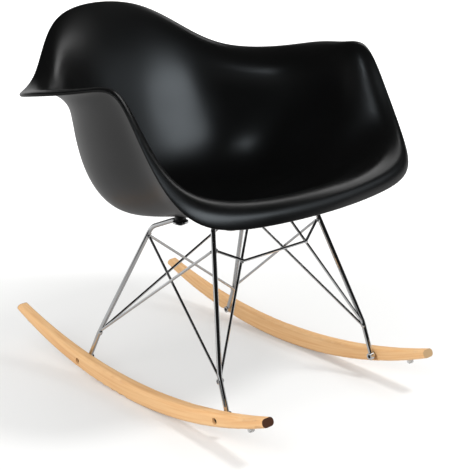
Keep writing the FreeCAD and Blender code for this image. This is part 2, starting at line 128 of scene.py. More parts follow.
def new_material(name):
    """An empty material with its shader and output."""
    material = bpy.data.materials.new(name)
    material.use_nodes = True
    tree = material.node_tree
    tree.nodes.clear()
    shader = add_node(tree, "ShaderNodeBsdfPrincipled")
    add_node(tree, "ShaderNodeOutputMaterial", inputs={"Surface": shader.outputs["BSDF"]})
    return material, tree, shader


print("mid grey as a linear value:", round(colour("#808080")[0], 3))

# %% [markdown]
# No real finish is quite even, so a pattern moves its roughness or its relief a little. Noise
# is laid on Object coordinates and sized in millimetres. It stays mostly near its middle, so
# only that span is stretched. The other helpers name what a node does: arithmetic with numbers,
# a number measured on vectors, and the Mix node, which only numbers its sockets.

# %% Patterns, arithmetic and mixes
NOISE_SPAN = (0.3, 0.7)


def noise_pattern(tree, spot_mm, detail):
    """Noise with spots of about the given size."""
    place = add_node(tree, "ShaderNodeTexCoord").outputs["Object"]
    pattern = add_node(tree, "ShaderNodeTexNoise", inputs={
        "Vector": place, "Scale": 1 / (spot_mm * MM), "Detail": detail})
    return pattern.outputs["Fac"]


def remap(tree, value, old_ends, new_ends=(0.0, 1.0)):
    """Moves a value from one span to another, and stops at both ends."""
    node = add_node(tree, "ShaderNodeMapRange", inputs={
        "Value": value, "From Min": old_ends[0], "From Max": old_ends[1],
        "To Min": new_ends[0], "To Max": new_ends[1]})
    return node.outputs["Result"]


def calculate(tree, operation, *values):
    """Arithmetic with numbers."""
    node = add_node(tree, "ShaderNodeMath", {"operation": operation}, dict(enumerate(values)))
    return node.outputs["Value"]


def measure(tree, operation, *vectors):
    """A number that is measured on vectors, such as a length."""
    node = add_node(
        tree, "ShaderNodeVectorMath", {"operation": operation}, dict(enumerate(vectors)))
    return node.outputs["Value"]


def mix_values(tree, share, first, second):
    return add_node(tree, "ShaderNodeMix", inputs={0: share, 2: first, 3: second}).outputs[0]


def mix_colours(tree, share, first, second):
    node = add_node(tree, "ShaderNodeMix", {"data_type": "RGBA"}, {
        0: share, 6: first, 7: second})
    return node.outputs[2]


def add_bump(tree, height, strength, deep_mm, over=None):
    """The normals of a relief, laid over another relief where one is given."""
    inputs = {"Height": height, "Strength": strength, "Distance": deep_mm * MM}
    if over is not None:
        inputs["Normal"] = over
    return add_node(tree, "ShaderNodeBump", inputs=inputs).outputs["Normal"]


# %% [markdown]
# The shell is polypropylene, injection moulded and left as it comes from a finely etched tool.
# Such plastic is deep black where it mirrors something dark, and shows broad, soft highlights,
# because the fine grain scatters its gloss. IOR 1.49 is typical. A faint bump of about 0.6 mm
# grain breaks the highlight up, and a larger, very shallow waviness is the shrinkage of a big
# moulding.

# %% Black polypropylene


def make_polypropylene():
    material, tree, shader = new_material("black_moulded_polypropylene")
    grain = noise_pattern(tree, 0.6, 2.0)
    shrink = noise_pattern(tree, 90, 1.0)
    grained = add_bump(tree, grain, 0.05, 0.05)
    fill_inputs(tree, shader, {
        "Base Color": colour("#040404"),
        "Roughness": remap(tree, shrink, NOISE_SPAN, (0.29, 0.35)),
        "IOR": 1.49,
        "Normal": add_bump(tree, shrink, 0.08, 0.1, over=grained)})
    return material


polypropylene = make_polypropylene()
print("material of the shell:", polypropylene.name)

# %% [markdown]
# The rockers are beech, steamed and bent, then sanded and lacquered. The grain follows the
# bend, so the pattern is not laid out on X, Y and Z but along the arc: the angle about the
# centre of the running face gives the way along the board, the distance from that centre gives
# the way through it. Beech has faint long streaks and short dark flecks a few millimetres long,
# one or two tenths of a millimetre wide, drawn coarser here so that they show.

# %% The board unrolled
ROCKER_RADIUS = 900 * MM
ROCKER_LENGTH = 694.6 * MM
ROCKER_END_ANGLE = math.asin(ROCKER_LENGTH / 2 / ROCKER_RADIUS)


def arc_coordinates(tree):
    """Object coordinates unrolled along the rocker: across, along and through, in metres."""
    place = add_node(tree, "ShaderNodeTexCoord").outputs["Object"]
    parts = add_node(tree, "ShaderNodeSeparateXYZ", inputs={"Vector": place}).outputs
    drop = calculate(tree, "SUBTRACT", ROCKER_RADIUS, parts["Z"])
    angle = calculate(tree, "ARCTAN2", parts["Y"], drop)
    along = calculate(tree, "MULTIPLY", angle, ROCKER_RADIUS)
    flat = add_node(tree, "ShaderNodeCombineXYZ", inputs={"Y": parts["Y"], "Z": drop})
    through = measure(tree, "LENGTH", flat.outputs["Vector"])
    joined = add_node(tree, "ShaderNodeCombineXYZ", inputs={
        "X": parts["X"], "Y": along, "Z": through})
    return joined.outputs["Vector"], angle


def drawn_out(tree, unrolled, times):
    """The unrolled coordinates, on which a pattern is drawn out along the board."""
    node = add_node(tree, "ShaderNodeVectorMath", {"operation": "MULTIPLY"}, {
        0: unrolled, 1: (1, 1 / times, 1)})
    return node.outputs["Vector"]


print("the board's ends lie", round(math.degrees(ROCKER_END_ANGLE), 1), "degrees from its middle")

# %% [markdown]
# Three patterns make the wood. A ramp from dark over middle to light colours the streaks. Each
# fleck is the middle of a small Voronoi cell. The sawn ends show end grain: in the photograph
# it is almost black on the near rocker and pale on the far one. The near rocker's almost black
# end colour is partly the wood's own darker end grain and partly painted shade, the shade that
# falls on that end. So there are two materials, which differ only in that.

# %% Lacquered beech
LIGHT_BEECH = "#f0c38d"
MIDDLE_BEECH = "#ebbb84"
DARK_BEECH = "#e3ae76"
STREAK_MM = 4
STREAK_DRAWN_OUT = 34
FLECK_MM = 1.6
FLECK_DRAWN_OUT = 9
FLECK_SHARE = 0.16
SAWN_STARTS = 0.7 * MM
SAWN_FULL = 0.2 * MM


def streak_pattern(tree, unrolled):
    streaks = add_node(tree, "ShaderNodeTexNoise", inputs={
        "Vector": drawn_out(tree, unrolled, STREAK_DRAWN_OUT),
        "Scale": 1 / (STREAK_MM * MM), "Detail": 3.0})
    return streaks.outputs["Fac"]


def streak_colour(tree, streaks):
    tint = add_node(tree, "ShaderNodeValToRGB", inputs={"Fac": streaks})
    dark_end, light_end = tint.color_ramp.elements
    dark_end.position = 0.32
    dark_end.color = colour(DARK_BEECH)
    light_end.position = 0.68
    light_end.color = colour(LIGHT_BEECH)
    tint.color_ramp.elements.new(0.5).color = colour(MIDDLE_BEECH)
    return tint.outputs["Color"]


def fleck_share(tree, unrolled):
    """How much of the dark colour shows: some in a cell's middle, none further out."""
    cells = add_node(tree, "ShaderNodeTexVoronoi", inputs={
        "Vector": drawn_out(tree, unrolled, FLECK_DRAWN_OUT), "Scale": 1 / (FLECK_MM * MM)})
    return remap(tree, cells.outputs["Distance"], (0.12, 0.3), (FLECK_SHARE, 0.0))


def sawn_share(tree, angle):
    """One at the two sawn ends of the board, zero elsewhere."""
    starts = ROCKER_END_ANGLE - SAWN_STARTS / ROCKER_RADIUS
    full = ROCKER_END_ANGLE - SAWN_FULL / ROCKER_RADIUS
    return remap(tree, calculate(tree, "ABSOLUTE", angle), (starts, full))


def make_beech(name, end_grain_and_shade):
    material, tree, shader = new_material(name)
    unrolled, angle = arc_coordinates(tree)
    streaks = streak_pattern(tree, unrolled)
    wood = streak_colour(tree, streaks)
    wood = mix_colours(tree, fleck_share(tree, unrolled), wood, colour(DARK_BEECH))
    # The colour at the sawn ends; on the near rocker it is partly painted shade.
    wood = mix_colours(tree, sawn_share(tree, angle), wood, colour(end_grain_and_shade))
    fill_inputs(tree, shader, {
        "Base Color": wood, "Roughness": 0.42, "IOR": 1.5,
        "Normal": add_bump(tree, streaks, 0.12, 0.1)})
    return material


# The near rocker's end colour is partly its own dark end grain and partly painted shade.
beech = make_beech("lacquered_beech", "#46291a")
beech_pale_end = make_beech("lacquered_beech_pale_end", "#b0926c")
print("materials of the rockers:", beech.name, "and", beech_pale_end.name)

# %% [markdown]
# The rods are mild steel, cold bent, welded and chromed. Polished chrome has almost no colour
# of its own: it is a mirror that bends the room into thin lines along each rod. So it needs
# something dark as well as something bright to mirror, which the room further down gives: white
# low down on one side, and dark elsewhere. Drawn rod is never quite smooth: a fine noise varies
# its roughness.

# %% Chrome
CHROME_TINT = "#dadbdc"


def make_metal(name, tint, spot_mm, smoothest, roughest):
    material, tree, shader = new_material(name)
    haze = noise_pattern(tree, spot_mm, 3.0)
    fill_inputs(tree, shader, {
        "Base Color": colour(tint), "Metallic": 1.0,
        "Roughness": remap(tree, haze, NOISE_SPAN, (smoothest, roughest))})
    return material


chrome = make_metal("polished_chrome", CHROME_TINT, 12, 0.03, 0.07)
weld_chrome = make_metal("chromed_weld", CHROME_TINT, 12, 0.22, 0.34)
print("materials of the base:", chrome.name, "and", weld_chrome.name)

# %% [markdown]
# The small parts: rubber pads between the plates and the shell, moulded and matt; clear glides
# of polycarbonate, which here look whitish because light is caught inside them; plain brass
# sleeves; and blackened steel glide screws, whose oxide is darker and rougher than bare steel.
# The rocker bolts take the same dark finish, which on them is painted shade, the shade deep in
# their counterbores.

# %% Rubber, clear plastic, brass and blackened steel


def make_rubber():
    material, tree, shader = new_material("moulded_black_rubber")
    fill_inputs(tree, shader, {
        "Base Color": colour("#141414"), "Roughness": 0.65, "IOR": 1.52,
        "Normal": add_bump(tree, noise_pattern(tree, 0.8, 2.0), 0.3, 0.1)})
    return material


def make_clear_plastic():
    material, tree, shader = new_material("clear_polycarbonate")
    scuffs = noise_pattern(tree, 2, 3.0)
    fill_inputs(tree, shader, {
        "Base Color": colour("#eef0f1"), "IOR": 1.58, "Transmission Weight": 0.55,
        "Roughness": remap(tree, scuffs, NOISE_SPAN, (0.18, 0.35))})
    return material


rubber = make_rubber()
clear_plastic = make_clear_plastic()
brass = make_metal("turned_brass", "#c9a35a", 0.8, 0.24, 0.36)
# On the rocker bolts this dark colour is painted shade, the shade deep in their counterbores.
dark_steel = make_metal("blackened_steel_and_painted_shade", "#2e251f", 1.0, 0.36, 0.54)
small_parts = (rubber, clear_plastic, brass, dark_steel)
print("materials of the small parts:", [material.name for material in small_parts])

# %% [markdown]
# Every CAD node keeps its mesh and gets its material through its slot; on the rocker bolts the
# dark steel is painted shade. The shell and the pads get theirs too, although finer pieces take
# their place further down.

# %% Finishes of the CAD nodes


def finish_of(name):
    """The material of a CAD node, by what it is made of; on the rocker bolts the dark steel is
    painted shade.
    """
    if name == "seat_shell":
        return polypropylene
    if name == "rocker_right":
        return beech
    if name == "rocker_left":
        return beech_pale_end
    if name.startswith("mount_pad"):
        return rubber
    if name.startswith(("front_glide", "rear_glide")):
        return clear_plastic
    if name == "seat_inserts":
        return brass
    # The rocker bolts take the dark steel as painted shade for their deep counterbores.
    if name in ("glide_screws", "rocker_bolts"):
        return dark_steel
    return chrome


for name, node in nodes.items():
    for slot in node.material_slots:
        slot.material = finish_of(name)
print(len(nodes), "nodes have their finish")

# %% [markdown]
# The shell is one skin, 5.5 mm thick, curved everywhere but in the middle of its floor. Its
# sections stand round an upright axis through the seat: each one runs from the floor out to the
# rim, and thirteen of them from the front middle to the back middle describe one half. A flat
# grid is added, and each of its points is moved onto the smooth surface that those sections
# control: one way of the grid goes round the seat, the other way climbs from the floor to the
# rim. A smooth cubic blend joins them, so the reflections flow as on a moulding. Solidify then
# gives it the wall, outwards, and a bevel rounds both edges of the rim. The first three
# sections, at the front roll, are a few millimetres rounder than in the solid, because the
# photograph's reflections ask for it.

# %% Sections of the shell
SEAT_AXIS_Y = 10.0
SEAT_FLOOR_Z = 306.0
WALL = 5.5
FLOOR_RING = 38.0
SECTIONS = [
    ((0, -304, 46), (105, 3), (160, 12), (212, 37), (252, 68), (287, 81), (317, 72)),
    ((109, -295, 47), (105, 3), (163, 13), (219, 38), (260, 69), (297, 82), (326, 73)),
    ((205, -272, 59), (108, 6), (170, 20), (232, 45), (286, 79), (323, 96), (350, 85)),
    ((248, -228, 104), (110, 10), (168, 27), (230, 62), (288, 96), (320, 126), (335, 125)),
    ((259, -179, 181), (108, 12), (160, 29), (218, 68), (262, 126), (292, 188), (310, 194)),
    ((265, -131, 245), (105, 11), (156, 28), (210, 70), (246, 144), (266, 231), (285, 255)),
    ((287, -63, 246), (104, 6), (156, 22), (206, 76), (235, 158), (247, 232), (270, 251)),
    ((312, 29, 235), (103, 2), (159, 14), (200, 72), (221, 147), (228, 216), (268, 243)),
    ((278, 107, 224), (103, 1), (160, 12), (197, 70), (210, 142), (209, 202), (252, 232)),
    ((209, 182, 230), (103, 0), (159, 12), (194, 70), (207, 147), (212, 212), (243, 238)),
    ((152, 237, 267), (102, 0), (155, 12), (186, 70), (208, 162), (231, 239), (257, 271)),
    ((88, 278, 309), (100, 0), (151, 11), (181, 70), (211, 182), (245, 269), (268, 303)),
    ((0, 293, 323), (100, 0), (149, 11), (179, 70), (212, 189), (247, 279), (269, 313)),
]


def section_points(station):
    """Control points of one section, from the floor out to the rim."""
    rim_x, rim_y, rim_z = station[0]
    out_y = rim_y - SEAT_AXIS_Y
    reach = math.hypot(rim_x, out_y)
    profile = [(FLOOR_RING, 0), ((FLOOR_RING + station[1][0]) / 2, 0)]
    profile += list(station[1:]) + [(reach, rim_z)]
    points = []
    for radius, height in profile:
        x = rim_x / reach * radius
        y = SEAT_AXIS_Y + out_y / reach * radius
        points.append(Vector((x, y, SEAT_FLOOR_Z + height)) * MM)
    return points


print(len(SECTIONS), "sections in one half")

# %% [markdown]
# A smooth cubic surface passes near its control points, not through them. At the rim that would
# show, so the outermost control points are moved, over and over, by what the curve still
# misses. The row next to the rim, the crest of the roll, follows most of each move, so that the
# roll keeps its shape. The other half mirrors the first.

# %% The net of control points
RIM_ROUNDS = 60
CREST_FOLLOW = 0.8


def rim_control(points):
    """Moves a ring's control points until its round cubic curve meets the given points."""
    ring = [point.copy() for point in points]
    count = len(ring)
    for _ in range(RIM_ROUNDS):
        curve = [(ring[i - 1] + 4 * ring[i] + ring[(i + 1) % count]) / 6 for i in range(count)]
        ring = [ring[i] + points[i] - curve[i] for i in range(count)]
    return ring


def shell_net():
    """Both halves of the net, with the rim's control points moved and the crest after them."""
    half = [section_points(station) for station in SECTIONS]
    other = [[Vector((-p.x, p.y, p.z)) for p in section] for section in half[-2:0:-1]]
    net = half + other
    rim = rim_control([section[-1] for section in net])
    for section, point in zip(net, rim):
        section[-2] = section[-2] + (point - section[-1]) * CREST_FOLLOW
        section[-1] = point
    return net


net = shell_net()
print(len(net), "sections of", len(net[0]), "control points")

# %% [markdown]
# A point of the surface is a weighted mean of control points: four neighbours round the seat,
# where the curve is closed, and those along the sections, where it is open and has to begin and
# end at its own end points. The CAD model's shell follows the same rule. Written out as
# weights, it can be asked for any point.

# %% The smooth surface through the net
TINY = 1e-9


def round_weights(t):
    """Weights of four neighbours on a closed cubic curve."""
    return ((1 - t) ** 3 / 6, (3 * t ** 3 - 6 * t * t + 4) / 6,
            (-3 * t ** 3 + 3 * t * t + 3 * t + 1) / 6, t ** 3 / 6)


def open_weights(v, count):
    """Weights of all control points on an open cubic curve, by de Boor's recurrence."""
    knots = [0] * 3 + list(range(count - 2)) + [count - 3] * 3
    v = min(v, count - 3 - TINY)
    span = [1.0 if knots[i] <= v < knots[i + 1] else 0.0 for i in range(len(knots) - 1)]
    for degree in (1, 2, 3):
        following = []
        for i in range(len(span) - 1):
            rise_from, rise_to = knots[i], knots[i + degree]
            fall_from, fall_to = knots[i + 1], knots[i + degree + 1]
            value = 0.0
            if rise_to > rise_from:
                value += (v - rise_from) / (rise_to - rise_from) * span[i]
            if fall_to > fall_from:
                value += (fall_to - v) / (fall_to - fall_from) * span[i + 1]
            following.append(value)
        span = following
    return span


def shell_point(u, up_weights):
    """Point of the inner face, u sections round, with the weights of its height."""
    whole = math.floor(u + TINY)
    point = Vector((0, 0, 0))
    for k, weight in zip(range(-1, 3), round_weights(u - whole)):
        section = net[(whole + k) % len(net)]
        for height_weight, control in zip(up_weights, section):
            point += control * (weight * height_weight)
    return point


print("weights in mid height add up to", round(sum(open_weights(3.0, len(net[0]))), 6))

# %% [markdown]
# The grid's two ways are read from its own flat coordinates, which run from minus a half to a
# half. Where the two ends of the grid meet, at the front middle, the doubled points are merged.
# The hole left in the middle of the floor is a flat ring, so one face closes it. The floor has
# to look up, so that the wall grows outwards.

# %% The shell from a grid
FACES_PER_SECTION = 8
ROUND = len(net) * FACES_PER_SECTION
RISE = 60
NEAR_MIDDLE = 1.5 * FLOOR_RING * MM
MERGE_WITHIN = 0.01 * MM


def edge_middle(piece, edge):
    first, second = (piece.data.vertices[i].co for i in edge.vertices)
    return (first + second) / 2


def close_floor(piece):
    """Closes the ring of open edges in the middle of the floor, and leaves the rim open."""
    bpy.ops.mesh.select_mode(type="EDGE")
    bpy.ops.mesh.select_all(action="DESELECT")
    bpy.ops.mesh.select_non_manifold()
    bpy.ops.object.mode_set(mode="OBJECT")
    for edge in piece.data.edges:
        middle = edge_middle(piece, edge)
        if math.hypot(middle.x, middle.y - SEAT_AXIS_Y * MM) > NEAR_MIDDLE:
            edge.select = False
    bpy.ops.object.mode_set(mode="EDIT")
    bpy.ops.mesh.edge_face_add()


def make_shell():
    start_fresh()
    bpy.ops.mesh.primitive_grid_add(x_subdivisions=ROUND, y_subdivisions=RISE, size=1)
    piece = bpy.context.object
    piece.name = "moulded_shell"
    rows = {}
    for vertex in piece.data.vertices:
        u = (vertex.co.x + 0.5) * len(net)
        row = round((vertex.co.y + 0.5) * RISE)
        if row not in rows:
            rows[row] = open_weights(row / RISE * (len(net[0]) - 3), len(net[0]))
        vertex.co = shell_point(u, rows[row])
    bpy.ops.object.mode_set(mode="EDIT")
    bpy.ops.mesh.select_all(action="SELECT")
    bpy.ops.mesh.remove_doubles(threshold=MERGE_WITHIN)
    close_floor(piece)
    bpy.ops.mesh.select_all(action="SELECT")
    bpy.ops.mesh.normals_make_consistent(inside=False)
    bpy.ops.object.mode_set(mode="OBJECT")
    return piece


def floor_looks_up(piece):
    """True when the lowest face, which is in the flat floor, points up."""
    return min(piece.data.polygons, key=lambda face: face.center.z).normal.z > 0


shell = make_shell()
print("shell:", len(shell.data.polygons), "faces, floor looks up:", floor_looks_up(shell))

# %% [markdown]
# The wall grows outwards from the inner face, so the face that a sitter touches keeps its
# measured shape. Even thickness keeps it equally thick where the skin is bent tightly. A mould
# leaves no sharp edge at the rim: the bevel takes only edges that are bent by more than 50
# degrees, which are those round the rim.

# %% Wall and rounded rim
RIM_ROUND = 2.2
RIM_EDGE_ANGLE = math.radians(50)


def thicken_shell(piece):
    if not floor_looks_up(piece):
        bpy.ops.object.mode_set(mode="EDIT")
        bpy.ops.mesh.select_all(action="SELECT")
        bpy.ops.mesh.flip_normals()
        bpy.ops.object.mode_set(mode="OBJECT")
    wall = piece.modifiers.new("wall", "SOLIDIFY")
    wall.thickness = WALL * MM
    wall.offset = -1
    wall.use_even_offset = True
    edge = piece.modifiers.new("rim", "BEVEL")
    edge.width = RIM_ROUND * MM
    edge.segments = 4
    edge.limit_method = "ANGLE"
    edge.angle_limit = RIM_EDGE_ANGLE
    for modifier in ("wall", "rim"):
        bpy.ops.object.modifier_apply(modifier=modifier)
    bpy.ops.object.shade_smooth()


thicken_shell(shell)
print("shell:", len(shell.data.polygons), "faces, size", [round(d, 3) for d in shell.dimensions])

# %% [markdown]
# Four round bosses stand on the underside where the base is screwed on, and they are moulded in
# one with the shell. The underside slopes there, so each boss starts as a cylinder, and a ray
# cast upwards finds how far its top has to reach to end inside the wall. A small bevel rounds
# its face, as a mould does, and the four are joined with the shell into one piece. The face is
# found by its normal, which points almost straight down, and shallow edges are shaded smooth.

# %% Bosses
BOSS_DIA = 19.0
BOSS_FACE_Z = 312.5
BOSS_ROUND = 0.6
BOSS_IN_WALL = 2.5
RAY_START_Z = 100.0
ROUND_SIDES = 48
END_FACE = 0.9
SMOOTH_BELOW = math.radians(40)
MOUNTS = {
    "rear_left": (100.0, -56.5),
    "rear_right": (-100.0, -56.5),
    "front_left": (62.0, -142.0),
    "front_right": (-62.0, -142.0),
}


def underside(x, y):
    """Height of the shell's outer face over a point, in metres."""
    hit, place, _, _ = shell.ray_cast(Vector((x, y, RAY_START_Z * MM)), Vector((0, 0, 1)))
    return place.z if hit else BOSS_FACE_Z * MM


def make_boss(x, y):
    start_fresh()
    middle = Vector((x, y, BOSS_FACE_Z + WALL / 2)) * MM
    bpy.ops.mesh.primitive_cylinder_add(
        vertices=ROUND_SIDES, radius=BOSS_DIA / 2 * MM, depth=WALL * MM, location=middle)
    boss = bpy.context.object
    apply_place(boss)
    bpy.ops.object.mode_set(mode="EDIT")
    select_faces(boss, lambda centre, normal: normal.z < -END_FACE)
    bpy.ops.mesh.bevel(offset=BOSS_ROUND * MM, segments=3, affect="EDGES")
    bpy.ops.object.mode_set(mode="OBJECT")
    for vertex in boss.data.vertices:
        if vertex.co.z > middle.z:
            vertex.co.z = underside(vertex.co.x, vertex.co.y) + BOSS_IN_WALL * MM
    bpy.ops.object.shade_smooth_by_angle(angle=SMOOTH_BELOW)
    return boss


bosses = [make_boss(x, y) for x, y in MOUNTS.values()]
start_fresh()
for boss in bosses:
    boss.select_set(True)
shell.select_set(True)
bpy.context.view_layer.objects.active = shell
bpy.ops.object.join()
ride_root(shell, polypropylene)
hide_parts("seat_shell")
print("shell with bosses:", len(shell.data.polygons), "faces")

# %% [markdown]
# Between each boss and its steel plate lies a rubber pad. Rubber under a screw is pressed flat
# and its side swells out, so the pad is a cylinder whose two rims are widely rounded. One is
# modelled under the first mount, and the others are copies, each with its own mesh.

# %% Rubber pads
PAD_DIA = 20.0
PAD_THICK = 3.5
PAD_ROUND = 1.3


def make_pad(place, x, y):
    start_fresh()
    bpy.ops.mesh.primitive_cylinder_add(
        vertices=ROUND_SIDES, radius=PAD_DIA / 2 * MM, depth=PAD_THICK * MM,
        location=Vector((x, y, BOSS_FACE_Z - PAD_THICK / 2)) * MM)
    pad = bpy.context.object
    pad.name = "rubber_pad_" + place
    bpy.ops.object.mode_set(mode="EDIT")
    select_faces(pad, lambda centre, normal: abs(normal.z) > END_FACE)
    bpy.ops.mesh.bevel(offset=PAD_ROUND * MM, segments=5, affect="EDGES")
    bpy.ops.object.mode_set(mode="OBJECT")
    bpy.ops.object.shade_smooth_by_angle(angle=SMOOTH_BELOW)
    return pad


def copy_pad(pad, place, step):
    start_fresh()
    pad.select_set(True)
    bpy.context.view_layer.objects.active = pad
    bpy.ops.object.duplicate()
    copy = bpy.context.object
    copy.name = "rubber_pad_" + place
    copy.location += step
    return copy


def add_pads():
    places = list(MOUNTS)
    first = MOUNTS[places[0]]
    pads = [make_pad(places[0], *first)]
    for place in places[1:]:
        step = Vector((MOUNTS[place][0] - first[0], MOUNTS[place][1] - first[1], 0)) * MM
        pads.append(copy_pad(pads[0], place, step))
    for place, pad in zip(places, pads):
        apply_place(pad)
        ride_root(pad, rubber)
        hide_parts("mount_pad_" + place)
    print(len(pads), "rubber pads of", len(pads[0].data.polygons), "faces")


add_pads()

# %% [markdown]
# Each thin wire is welded to the rod it meets. To find the welds, the rods' middle lines are
# written down in millimetres, as the CAD model has them. Each weld is then named by its height
# on its rod. Only the left side is written down, and the right side mirrors it.

# %% Lines of the rods
ROD_RADIUS = 4.0
WIRE_RADIUS = 2.3
FRONT_LEG = (Vector((160.6, -214.2, 101)), Vector((105.8, -146.7, 324)))
REAR_LEG = (Vector((156.5, 121.9, 80)), Vector((104.7, 17.6, 284.9)))
STRUT_TOP = Vector((40.8, -156, 311))


def on_rod(rod, height):
    """Point of a rod's middle line at a height."""
    low, high = rod
    return low + (high - low) * ((height - low.z) / (high.z - low.z))


def flipped(point):
    """The same point of the other side."""
    return Vector((-point.x, point.y, point.z))


STRUT_FOOT = on_rod(FRONT_LEG, 96.2)
SIDE_FOOT = on_rod(REAR_LEG, 81.9)
TIE_END = on_rod(FRONT_LEG, 284.4)
SIDE_HIGH = on_rod(REAR_LEG, 269.2)
SIDE_LOW = on_rod(FRONT_LEG, 94.6)
CROSS_LOW = on_rod(REAR_LEG, 77.0)
CROSS_HIGH = on_rod(REAR_LEG, 271.0)
TIE_ON_STRUT = on_rod((STRUT_FOOT, STRUT_TOP), 259.0)
print("left welds from", [round(c) for c in SIDE_FOOT], "to", [round(c) for c in TIE_END])

# %% [markdown]
# A weld is a small lump of melted steel, less even than the rod and duller once it is chromed.
# It starts as an icosphere and is drawn out along the rod. Soft noise makes it lumpy, shifted
# from bead to bead so that no two are alike. The beads are joined into one piece, because
# nothing else tells them apart.

# %% Weld beads
BEAD_LONG = 4.2
BEAD_WIDE = 3.3
BEAD_DEEP = 2.9
LUMP_SHARE = 0.13
LUMPS_ON_BEAD = 1.6
LUMPS_SHIFT = 0.37
FORWARD = Vector((0, -1, 0))


def make_bead(on_middle_line, rod, towards, radius):
    """A lump where a wire that runs towards a point leaves a rod."""
    along = (rod[1] - rod[0]).normalized()
    wire = (towards - on_middle_line).normalized()
    outwards = (wire - along * wire.dot(along)).normalized()
    across = outwards.cross(along)
    middle = on_middle_line + outwards * radius
    start_fresh()
    bpy.ops.mesh.primitive_ico_sphere_add(subdivisions=3, radius=1)
    bead = bpy.context.object
    for vertex in bead.data.vertices:
        lump = 1 + LUMP_SHARE * noise.noise(vertex.co * LUMPS_ON_BEAD + middle * LUMPS_SHIFT)
        long, wide, deep = vertex.co * lump
        place = middle + along * (long * BEAD_LONG) + across * (wide * BEAD_WIDE)
        vertex.co = (place + outwards * (deep * BEAD_DEEP)) * MM
    return bead


def weld_list():
    """Every weld of the left side: point, rod, where its wire goes, and the rod's radius."""
    strut = (STRUT_FOOT, STRUT_TOP)
    return [
        (STRUT_FOOT, FRONT_LEG, STRUT_TOP, ROD_RADIUS),
        (SIDE_LOW, FRONT_LEG, SIDE_HIGH, ROD_RADIUS),
        (SIDE_HIGH, REAR_LEG, SIDE_LOW, ROD_RADIUS),
        (SIDE_FOOT, REAR_LEG, TIE_END, ROD_RADIUS),
        (TIE_END, FRONT_LEG, TIE_ON_STRUT, ROD_RADIUS),
        (TIE_ON_STRUT, strut, TIE_ON_STRUT + FORWARD, WIRE_RADIUS),
        (CROSS_LOW, REAR_LEG, flipped(CROSS_HIGH), ROD_RADIUS),
        (CROSS_HIGH, REAR_LEG, flipped(CROSS_LOW), ROD_RADIUS),
    ]


def add_beads():
    beads = []
    for point, rod, towards, radius in weld_list():
        beads.append(make_bead(point, rod, towards, radius))
        mirrored_rod = (flipped(rod[0]), flipped(rod[1]))
        beads.append(make_bead(flipped(point), mirrored_rod, flipped(towards), radius))
    start_fresh()
    for bead in beads:
        bead.select_set(True)
    bpy.context.view_layer.objects.active = beads[0]
    bpy.ops.object.join()
    piece = bpy.context.object
    piece.name = "weld_beads"
    bpy.ops.object.mode_set(mode="EDIT")
    bpy.ops.mesh.select_all(action="SELECT")
    bpy.ops.mesh.normals_make_consistent(inside=False)
    bpy.ops.object.mode_set(mode="OBJECT")
    bpy.ops.object.shade_smooth()
    ride_root(piece, weld_chrome)
    print(len(beads), "weld beads in one piece of", len(piece.data.polygons), "faces")


add_beads()

# %% [markdown]
# The camera stands where the photographer's stood. It was found from marks on the chair itself,
# such as the bends of its rods, with the chair taken as mirrored about its middle plane. It
# looks a little down on the chair from its front right, and is turned by about two degrees
# about its own axis.

# %% Camera
IMAGE_SIZE = 470
AZIMUTH = math.radians(-40.027)
ELEVATION = math.radians(17.634)
ROLL = math.radians(-2.308)
DISTANCE = 2031.263 * MM
FOCAL_PIXELS = 1210.484
SENSOR = 36
LOOK_AT = Vector((-0.008, -73.791, 265.0)) * MM


def add_camera():
    back = Vector((
        math.sin(AZIMUTH) * math.cos(ELEVATION),
        -math.cos(AZIMUTH) * math.cos(ELEVATION),
        math.sin(ELEVATION)))
    level = Vector((math.cos(AZIMUTH), math.sin(AZIMUTH), 0))
    upright = back.cross(level)
    right = level * math.cos(ROLL) + upright * math.sin(ROLL)
    up = upright * math.cos(ROLL) - level * math.sin(ROLL)
    start_fresh()
    bpy.ops.object.camera_add()
    camera = bpy.context.object
    turn = Matrix((right, up, back)).transposed().to_4x4()
    camera.matrix_world = Matrix.Translation(LOOK_AT + back * DISTANCE) @ turn
    camera.data.sensor_width = SENSOR
    camera.data.sensor_height = SENSOR
    camera.data.lens = FOCAL_PIXELS / IMAGE_SIZE * SENSOR
    camera.data.clip_end = 50
    return camera


camera = add_camera()
bpy.context.scene.camera = camera
print("camera at", [round(c, 3) for c in camera.location], "lens", round(camera.data.lens, 1))

# %% [markdown]
# The room is a white studio. To the camera and to clear pieces the floor and the world behind
# it are plain white, through the ray kinds of the Light Path node, so no extra light has to
# fall on the chair, and the floor still takes its shadow. Polished rods need something dark to
# mirror as well. As in a real studio, that is the unlit room on the photographer's side and
# above: for mirror rays the white paper ends a little way in front of the chair, and the world
# is white only low down, behind the chair and to the sitter's right.

# %% Floor
TO_CAMERA = Vector((math.sin(AZIMUTH), -math.cos(AZIMUTH), 0))
PAPER_ENDS = (0.2, 0.6)
GLOW_BETWEEN = (0.5, 1.8)
GLOW_NEAR = 0.15
GLOW_FAR = 0.8
FLOOR_WIDE = 14


def is_ray(tree, *kinds):
    """One for a ray of any of the named kinds, otherwise zero."""
    path = add_node(tree, "ShaderNodeLightPath").outputs
    share = path[kinds[0]]
    for kind in kinds[1:]:
        share = calculate(tree, "MAXIMUM", share, path[kind])
    return share


def paper_colour(tree, place):
    """White paper, which for mirror rays is greyer and ends a little in front of the chair."""
    past_paper = remap(tree, measure(tree, "DOT_PRODUCT", place, TO_CAMERA), PAPER_ENDS)
    mirrored = mix_colours(tree, past_paper, colour("#b8b8b8"), colour("#161616"))
    return mix_colours(tree, is_ray(tree, "Is Glossy Ray"), colour("#d8d8d7"), mirrored)


def paper_glow(tree, place):
    """A glow that only the camera and clear pieces see, stronger away from the chair."""
    glow = remap(tree, measure(tree, "LENGTH", place), GLOW_BETWEEN, (GLOW_NEAR, GLOW_FAR))
    seen = is_ray(tree, "Is Camera Ray", "Is Transmission Ray")
    return calculate(tree, "MULTIPLY", seen, glow)


